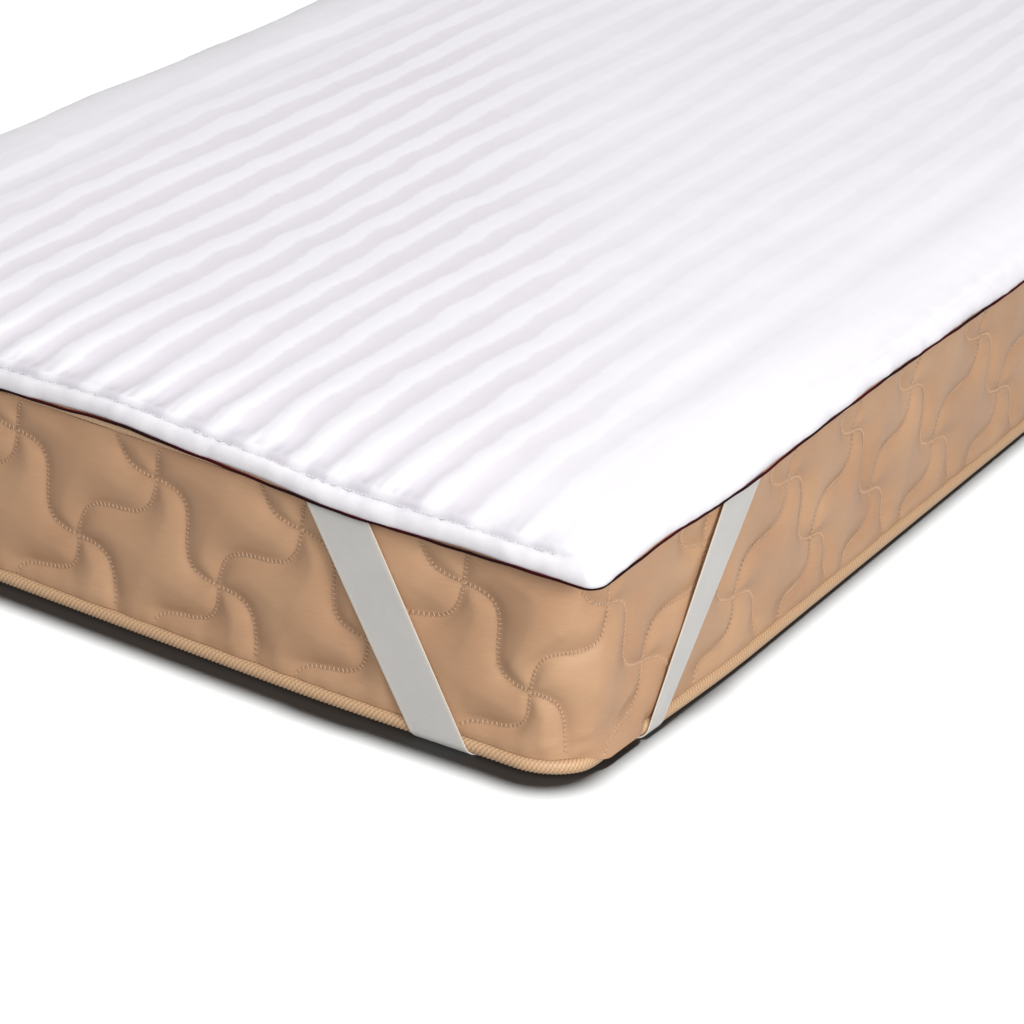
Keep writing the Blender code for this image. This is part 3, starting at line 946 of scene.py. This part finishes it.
def makePanel():
    plan = panelPlan()
    x, y = plan[..., 0], plan[..., 1]
    z, inward, fromSide, fromEnd = topHeight(plan)
    phase = stripePhase(x, y)
    ridge = 0.5 + 0.5 * np.cos(math.tau * phase)
    towardSide = ease(fromSide, 0.02, 0.20)
    relief = cover["stripeRelief"] * (0.30 + 0.70 * fall(fromEnd, 0.25))
    relief = relief + cover["stripeBulge"] * fall(fromEnd, cover["bulgeReach"])
    relief = relief * (0.25 + 0.75 * towardSide)
    z = z + relief * (ridge - 0.5) * (1 - fall(inward, 0.008))
    gather = puckers(x, 0.7)
    lay = fall(fromEnd, cover["puckerReach"])
    z = z - cover["pucker"] * gather * lay * ease(inward, -0.001, 0.004)
    dip = bump(fromSide - cover["rollPlace"], cover["rollWidth"])
    rollUp = bump(fromSide - 0.5 * cover["rollPlace"], cover["rollWidth"])
    along = 0.6 + 0.4 * np.sin(5 * y + 0.6) * np.sin(11 * y)
    z = z + cover["roll"] * (0.7 * rollUp - dip) * along * ease(fromEnd, 0.05, 0.30)
    z = z + cover["wave"] * roughness(x, y, 0 * x, cover["waveSize"]) * ease(inward, 0.0, 0.05)
    # painted sheen: the stripes' contrast fades where the satin's sheen washes it out
    faded = ease(x + cover["fadeTurn"] * y - cover["fadeFrom"], 0.0, cover["fadeOver"])
    faded = faded * (1 - cover["farStripes"] * ease(y, -0.1, 0.5))
    show = (0.30 + 0.70 * towardSide) * ease(fromSide, 0.015, 0.060) * (1 - cover["fade"] * faded)
    # painted shade: darker in the seam's gathers and in the grooves between the stripes beside the
    # end seams
    groove = cover["grooveShade"] * (1 - ridge) * fall(fromEnd, cover["grooveReach"])
    onEnd = endShare(plan)
    inner = ease(fromRim(plan)[0], 0.030, 0.075)  # 0 near the long sides
    values = {
        "stripePhase": phase,
        "onPanel": np.maximum(onEnd * inner, 0.6 + 0.4 * ease(inward, 0.0, 0.02)),
        "stripeShow": show,
        "seamShade": (0.5 * lay * gather**2 + groove) * onEnd,
    }
    points = np.stack((x, y, z), axis=-1)
    return gridPiece("topperTop", points, values, (pad["width"], pad["length"])), points, values


def makeBand(points, values):
    # the side band with its seam, up to the edge of the panel with these points and values
    path, out = (fromCorner(ring) for ring in padEdge(padSteps))
    x, y = path.T
    shift = rimShift(path)
    run = runAlong(path)
    gather = puckers(run, 1.7)
    onEnd = endShare(path)
    lumps = roughness(x, y, 0 * x, 0.035) + 0.6 * roughness(x, y, 0 * x, 0.012, 3.0)
    lines = []
    for k, (inset, rise, follow) in enumerate(bandLines):
        above = 1.0 if k > seamLine else 0.0
        nearSeam = fall(abs(k - seamLine), 1.5 if above else 2.4)
        # painted shade along the seam's dip
        dark = fall(abs(k - seamLine - 0.4), 0.9)
        onSide = math.sin(math.pi * min(1.0, k / seamLine))
        sway = cover["seamSway"] * (gather - 0.5) * nearSeam * onEnd
        sway = sway + cover["bandLumps"] * onSide * lumps
        ring = fromCorner(padRing(inset, padSteps)) + out * sway[:, None]
        plump = cover["bandLumps"] * np.sin(math.tau * run / cover["lumpPitch"]) * onSide
        height = bed["top"] + rise + (1 - onEnd) * sideFill[k] + follow * shift + plump
        height = height - cover["seamPucker"] * gather * nearSeam * onEnd
        phase = stripePhase(ring[:, 0], ring[:, 1])
        panel = np.maximum(above * edgeOf(values["onPanel"]), 0.6 * (1 - onEnd))
        show = above * edgeOf(values["stripeShow"])
        # painted shade in the grooves between the stripes and along the seam
        grooves = above * cover["grooveShade"] * (0.5 - 0.5 * np.cos(math.tau * phase))
        shade = onEnd * (grooves + dark * (0.45 + 0.55 * gather))
        # painted shade on the band's upper lines, where the light falls brightest
        shade = shade + cover["bandShade"] * bump(k - 9.5, 4.5)
        lines.append((np.column_stack((ring, height)), phase, panel, show, shade))
    lines.append([edgeOf(value) for value in (points, *values.values())])
    rings, *bandValues = (rolled(part) for part in zip(*lines))
    return gridPiece("topperBand", rings, dict(zip(values, bandValues)), (run[-1], 0.03))


def makeTopper():
    panel, points, values = makePanel()
    return closeUp(joined("topperCover", [panel, makeBand(points, values)]), 70)


seamThread = {"thickness": 0.0005, "rise": 0.0002, "from": 0.12, "to": 0.88}


def makeSeamStitches():
    # short white stitches in the seam between the side band and the top panel
    steps = {"across": 220, "along": 490, "corner": 4}
    inset, rise, follow = bandLines[seamLine]
    path = padRing(0, steps)
    height = bed["top"] + rise + follow * rimShift(path) + seamThread["rise"]
    points = np.column_stack((padRing(inset, steps), height))
    onEnd = endShare(path) > 0.5
    after = np.roll(points, -1, axis=0)
    starts, ends = (
        (points + seamThread[key] * (after - points))[onEnd] for key in ("from", "to")
    )
    paintedShades = np.zeros(len(starts))
    return bars("seamStitches", starts, ends, (0, 0, 1), seamThread["thickness"], paintedShades)


piping = {"radius": 0.00130, "inset": -0.0006, "height": 0.1877, "around": 10, "wander": 0.0003}


def makePiping():
    steps = {"across": 288, "along": 640, "corner": 12}
    path = padRing(piping["inset"], steps)
    rimPath, out = padEdge(steps)
    out /= np.linalg.norm(out, axis=1)[:, None]
    run = runAlong(path)
    turn = math.tau * run / run[-1]
    uneven = np.sin(61 * turn) + 0.7 * np.sin(143 * turn + 1)
    height = piping["height"] + rimShift(rimPath) + piping["wander"] * uneven

    def lineAt(angle):
        outward, rise = piping["radius"] * math.cos(angle), piping["radius"] * math.sin(angle)
        fringe = ease(abs(math.sin(angle)), 0.45, 1.0) * (0.6 + 0.4 * np.sin(37 * turn + 1))
        return np.column_stack((path + out * outward, height + rise)), fringe

    return tube("topperPiping", piping["around"], lineAt, "fringe", (run[-1], 0.009))


# the straps
strapMesh = {"bend": 8, "rise": 26, "under": 22, "across": 14}


def strapRun(start, rimPoint, gather):
    # from the underside round the tape and up to the topper: inward, height, distance of the
    # strap's middle from the mattress's corner, half its width along the side
    bendRadius = tapeRadius + gap + straps["thickness"] / 2
    bendHeight = strapRoom + tapeRadius
    bendLength = bendRadius * math.pi / 2
    rise = bed["top"] - straps["below"] + float(rimShift(np.array(rimPoint))) - gap - bendHeight
    places = []
    for step in range(strapMesh["bend"] + 1):
        share = step / strapMesh["bend"]
        inward = tapeRadius - bendRadius * math.sin(math.pi / 2 * share)
        height = bendHeight - bendRadius * math.cos(math.pi / 2 * share)
        places.append((inward, height, bendLength * share))
    for step in range(1, strapMesh["rise"] + 1):
        climbed = rise * step / strapMesh["rise"]
        places.append((tapeRadius - bendRadius, bendHeight + climbed, bendLength + climbed))
    travel = bendLength + rise
    half = straps["width"] / 2 * math.hypot(1, straps["slant"])
    cornerGap = (pad["width"] - bed["width"]) / 2
    run = []
    for inward, height, travelled in places:
        distance = start - cornerGap - straps["slant"] * (travel - travelled)
        narrowed = half * (gather + (1 - gather) * travelled / travel)
        run.append((inward, height, distance, narrowed))
    return run


def strapArc(start, end):
    # an edge of the strap under the corner, which leaves each rim at the strap's own slant
    turn = math.pi / 2 - 2 * math.atan(straps["slant"])
    chord = end - start
    radius = np.linalg.norm(chord) / 2 / math.sin(turn / 2)
    toCorner = np.array((chord[1], -chord[0])) / np.linalg.norm(chord)
    centre = (start + end) / 2 + toCorner * radius * math.cos(turn / 2)
    points = []
    for step in range(1, strapMesh["under"]):
        angle = turn * (step / strapMesh["under"] - 0.5)
        cosine, sine = math.cos(angle), math.sin(angle)
        points.append(centre - radius * np.array(((cosine, sine), (-sine, cosine))) @ toCorner)
    return points


def strapSections():
    # pairs of edge points: inward from the long side, inward from the short side, height
    halfWidth, halfLength = pad["width"] / 2, pad["length"] / 2
    start = straps["start"]
    shortSide = strapRun(start, (halfWidth - start, halfLength), straps["endGather"])
    longSide = strapRun(start, (halfWidth, halfLength - start), straps["sideGather"])
    under = shortSide[0][1]
    edges = []
    for side in (1, -1):
        first = [(far + side * half, inward, height) for inward, height, far, half in shortSide]
        last = [(inward, far + side * half, height) for inward, height, far, half in longSide]
        arc = strapArc(np.array(first[0][:2]), np.array(last[0][:2]))
        edges.append([*first[::-1], *((*point, under) for point in arc), *last])
    return np.stack(edges, axis=1)


def makeStrap(name, east, north):
    sections = strapSections()
    share = np.linspace(0, 1, strapMesh["across"] + 1)
    # closer columns at both selvedges
    share = 0.5 - 0.5 * np.cos(np.pi * share) * (1 - 0.25 * np.sin(np.pi * share))
    places = sections[:, :1] * (1 - share[None, :, None]) + sections[:, 1:] * share[None, :, None]
    x = east * (bed["width"] / 2 - places[..., 0])
    y = north * (bed["length"] / 2 - places[..., 1])
    plan = drawnIn(np.stack((x, y), axis=-1), bed["width"], bed["length"])
    points = np.concatenate((plan, places[..., 2:]), axis=-1)
    middle = points[:, len(share) // 2]
    length = float(np.linalg.norm(np.diff(middle, axis=0), axis=1).sum())
    edge = np.minimum(share, 1 - share)
    selvedge = np.broadcast_to(1 - ease(edge, 0.030, 0.055), points.shape[:2])
    piece = gridPiece(name, points, {"selvedge": selvedge}, (straps["width"], length))
    thicken = piece.modifiers.new("thickness", "SOLIDIFY")
    thicken.thickness = straps["thickness"]
    thicken.offset = 0
    thicken.use_even_offset = True
    soften = piece.modifiers.new("softEdges", "BEVEL")
    soften.width = 0.0004
    soften.segments = 2
    soften.limit_method = "ANGLE"
    soften.angle_limit = math.radians(60)
    pick(piece)
    bpy.ops.object.modifier_apply(modifier="thickness")
    bpy.ops.object.modifier_apply(modifier="softEdges")
    smooth(piece, 60)
    return piece, length


print("materials")
satin = topperMaterial()
tan = tanMaterial()
tape = yarnMaterial("tanRopedTape", 0.55, sheen=0.15)
cord = yarnMaterial("darkPipingCord", 0.9, shine=0.1)
greyElastic = strapMaterial()
tanThread = yarnMaterial("tanThread", 0.6)
whiteThread = yarnMaterial("whiteThread", 0.6)

print("mattress")
mattress = makeMattress()
dress(mattress, tan, "mattress_fabric", "mattress")
dress(makeQuiltStitches(), tanThread, "mattress_fabric")

print("tapes")
bottomTape = makeTape(
    "bottomTape", tapeRadius, inset=0, height=strapRoom + tapeRadius, around=12, squareness=2.6,
    pushed=overhang["tapeIn"],
)
dress(bottomTape, tape, "mattress_tape", "mattress_tape_bottom")
topTape = makeTape(
    "topTape", topTapeRadius, inset=gap, height=bed["top"] - topTapeRadius, around=8, squareness=2.0,
    ribShare=0.25,
)
dress(topTape, tape, "mattress_tape", "mattress_tape_top")

print("topper")
topper = makeTopper()
dress(topper, satin, "topper_fabric", "topper_pad")
seamStitches = makeSeamStitches()
dress(seamStitches, whiteThread, "topper_fabric")
topperPiping = makePiping()
dress(topperPiping, cord, "piping", "topper_piping")

print("straps")
for east, north, corner, node in (
    (1, -1, "FootRight", "strap_foot_right"),
    (-1, -1, "FootLeft", "strap_foot_left"),
    (1, 1, "HeadRight", "strap_head_right"),
    (-1, 1, "HeadLeft", "strap_head_left"),
):
    strap, strapLength = makeStrap("strap" + corner, east, north)
    dress(strap, greyElastic, "strap_elastic", node)
print("strap length", round(strapLength, 4))

print("floor, light and camera")
studio = {
    "floor": (0.120, 0.121, 0.120),
    "floorSpeck": (0.126, 0.127, 0.126),
    "surround": 0.30,
}
# the way each light shines from, its strength, its angle or width, and whether it lights the floor
lights = {
    "floorLight": ("SUN", (-0.03, 0.135, 1.0), 27.5, math.radians(8), "INCLUDE"),
    "backLight": ("SUN", (-0.03, 0.135, 1.0), 1.17, math.radians(8), "EXCLUDE"),
    "frontLight": ("SUN", (0.45, -0.70, 0.55), 1.54, math.radians(50), "EXCLUDE"),
    "sideLight": ("AREA", (2.0, -1.0, 1.0), 38, 0.8, "EXCLUDE"),
}
sideAim = Vector((0.3, -0.8, 0.1))
photoView = {
    "place": (1.5691544, -3.1170261, 1.4624155),
    "turn": (63.10685, -3.88111, 31.49043),
    "lens": 126.56,
}


def makeFloor():
    deselectAll()
    bpy.ops.mesh.primitive_plane_add(size=60, location=(0, 0, 0))
    floor = bpy.context.object
    floor.name = "floor"
    material, tree, shader = newMaterial("paleFloor")
    speck = addNoise(tree, onObject(tree), 40.0, 2.0)
    colour = mixColours(tree, speck, studio["floor"], studio["floorSpeck"])
    finishShader(tree, shader, colour, 0.9, shine=0.1)
    floor.data.materials.append(material)
    floor.visible_diffuse = False  # it throws no light back on the bed
    return floor


def linkGroup(name, members, state):  # a collection that a light reaches or leaves out
    group = bpy.data.collections.new(name)
    for member in members:
        group.objects.link(member)
    for member in group.collection_objects:
        member.light_linking.link_state = state
    return group


def addLight(name, kind, source, strength, spread, onFloor):
    data = bpy.data.lights.new(name, kind)
    data.energy = strength
    setattr(data, "size" if kind == "AREA" else "angle", spread)
    light = addObject(name, data)
    light.rotation_euler = Vector(source).to_track_quat("Z", "Y").to_euler()
    light.light_linking.receiver_collection = linkGroup(name + "Receivers", [floor], onFloor)
    return light


floor = makeFloor()
floorLight, _, _, sideLight = (addLight(name, *light) for name, light in lights.items())
sideLight.location = sideAim + Vector(lights["sideLight"][1])
sideLight.visible_camera = False
# the floor's shadow is the mattress's own, without the topper's corners
unshadowed = linkGroup("noFloorShadow", [topper, seamStitches, topperPiping], "EXCLUDE")
floorLight.light_linking.blocker_collection = unshadowed

world = bpy.data.worlds.new("studio")
world.use_nodes = True
surround = world.node_tree.nodes["Background"].inputs
surround["Color"].default_value = (1, 1, 1, 1)
surround["Strength"].default_value = studio["surround"]
bpy.context.scene.world = world
bpy.context.scene.view_settings.view_transform = "Standard"

cameraData = bpy.data.cameras.new("photoCamera")
cameraData.lens = photoView["lens"]
cameraData.sensor_width = 36
camera = addObject("photoCamera", cameraData)
camera.location = photoView["place"]
camera.rotation_euler = [math.radians(angle) for angle in photoView["turn"]]
bpy.context.scene.camera = camera
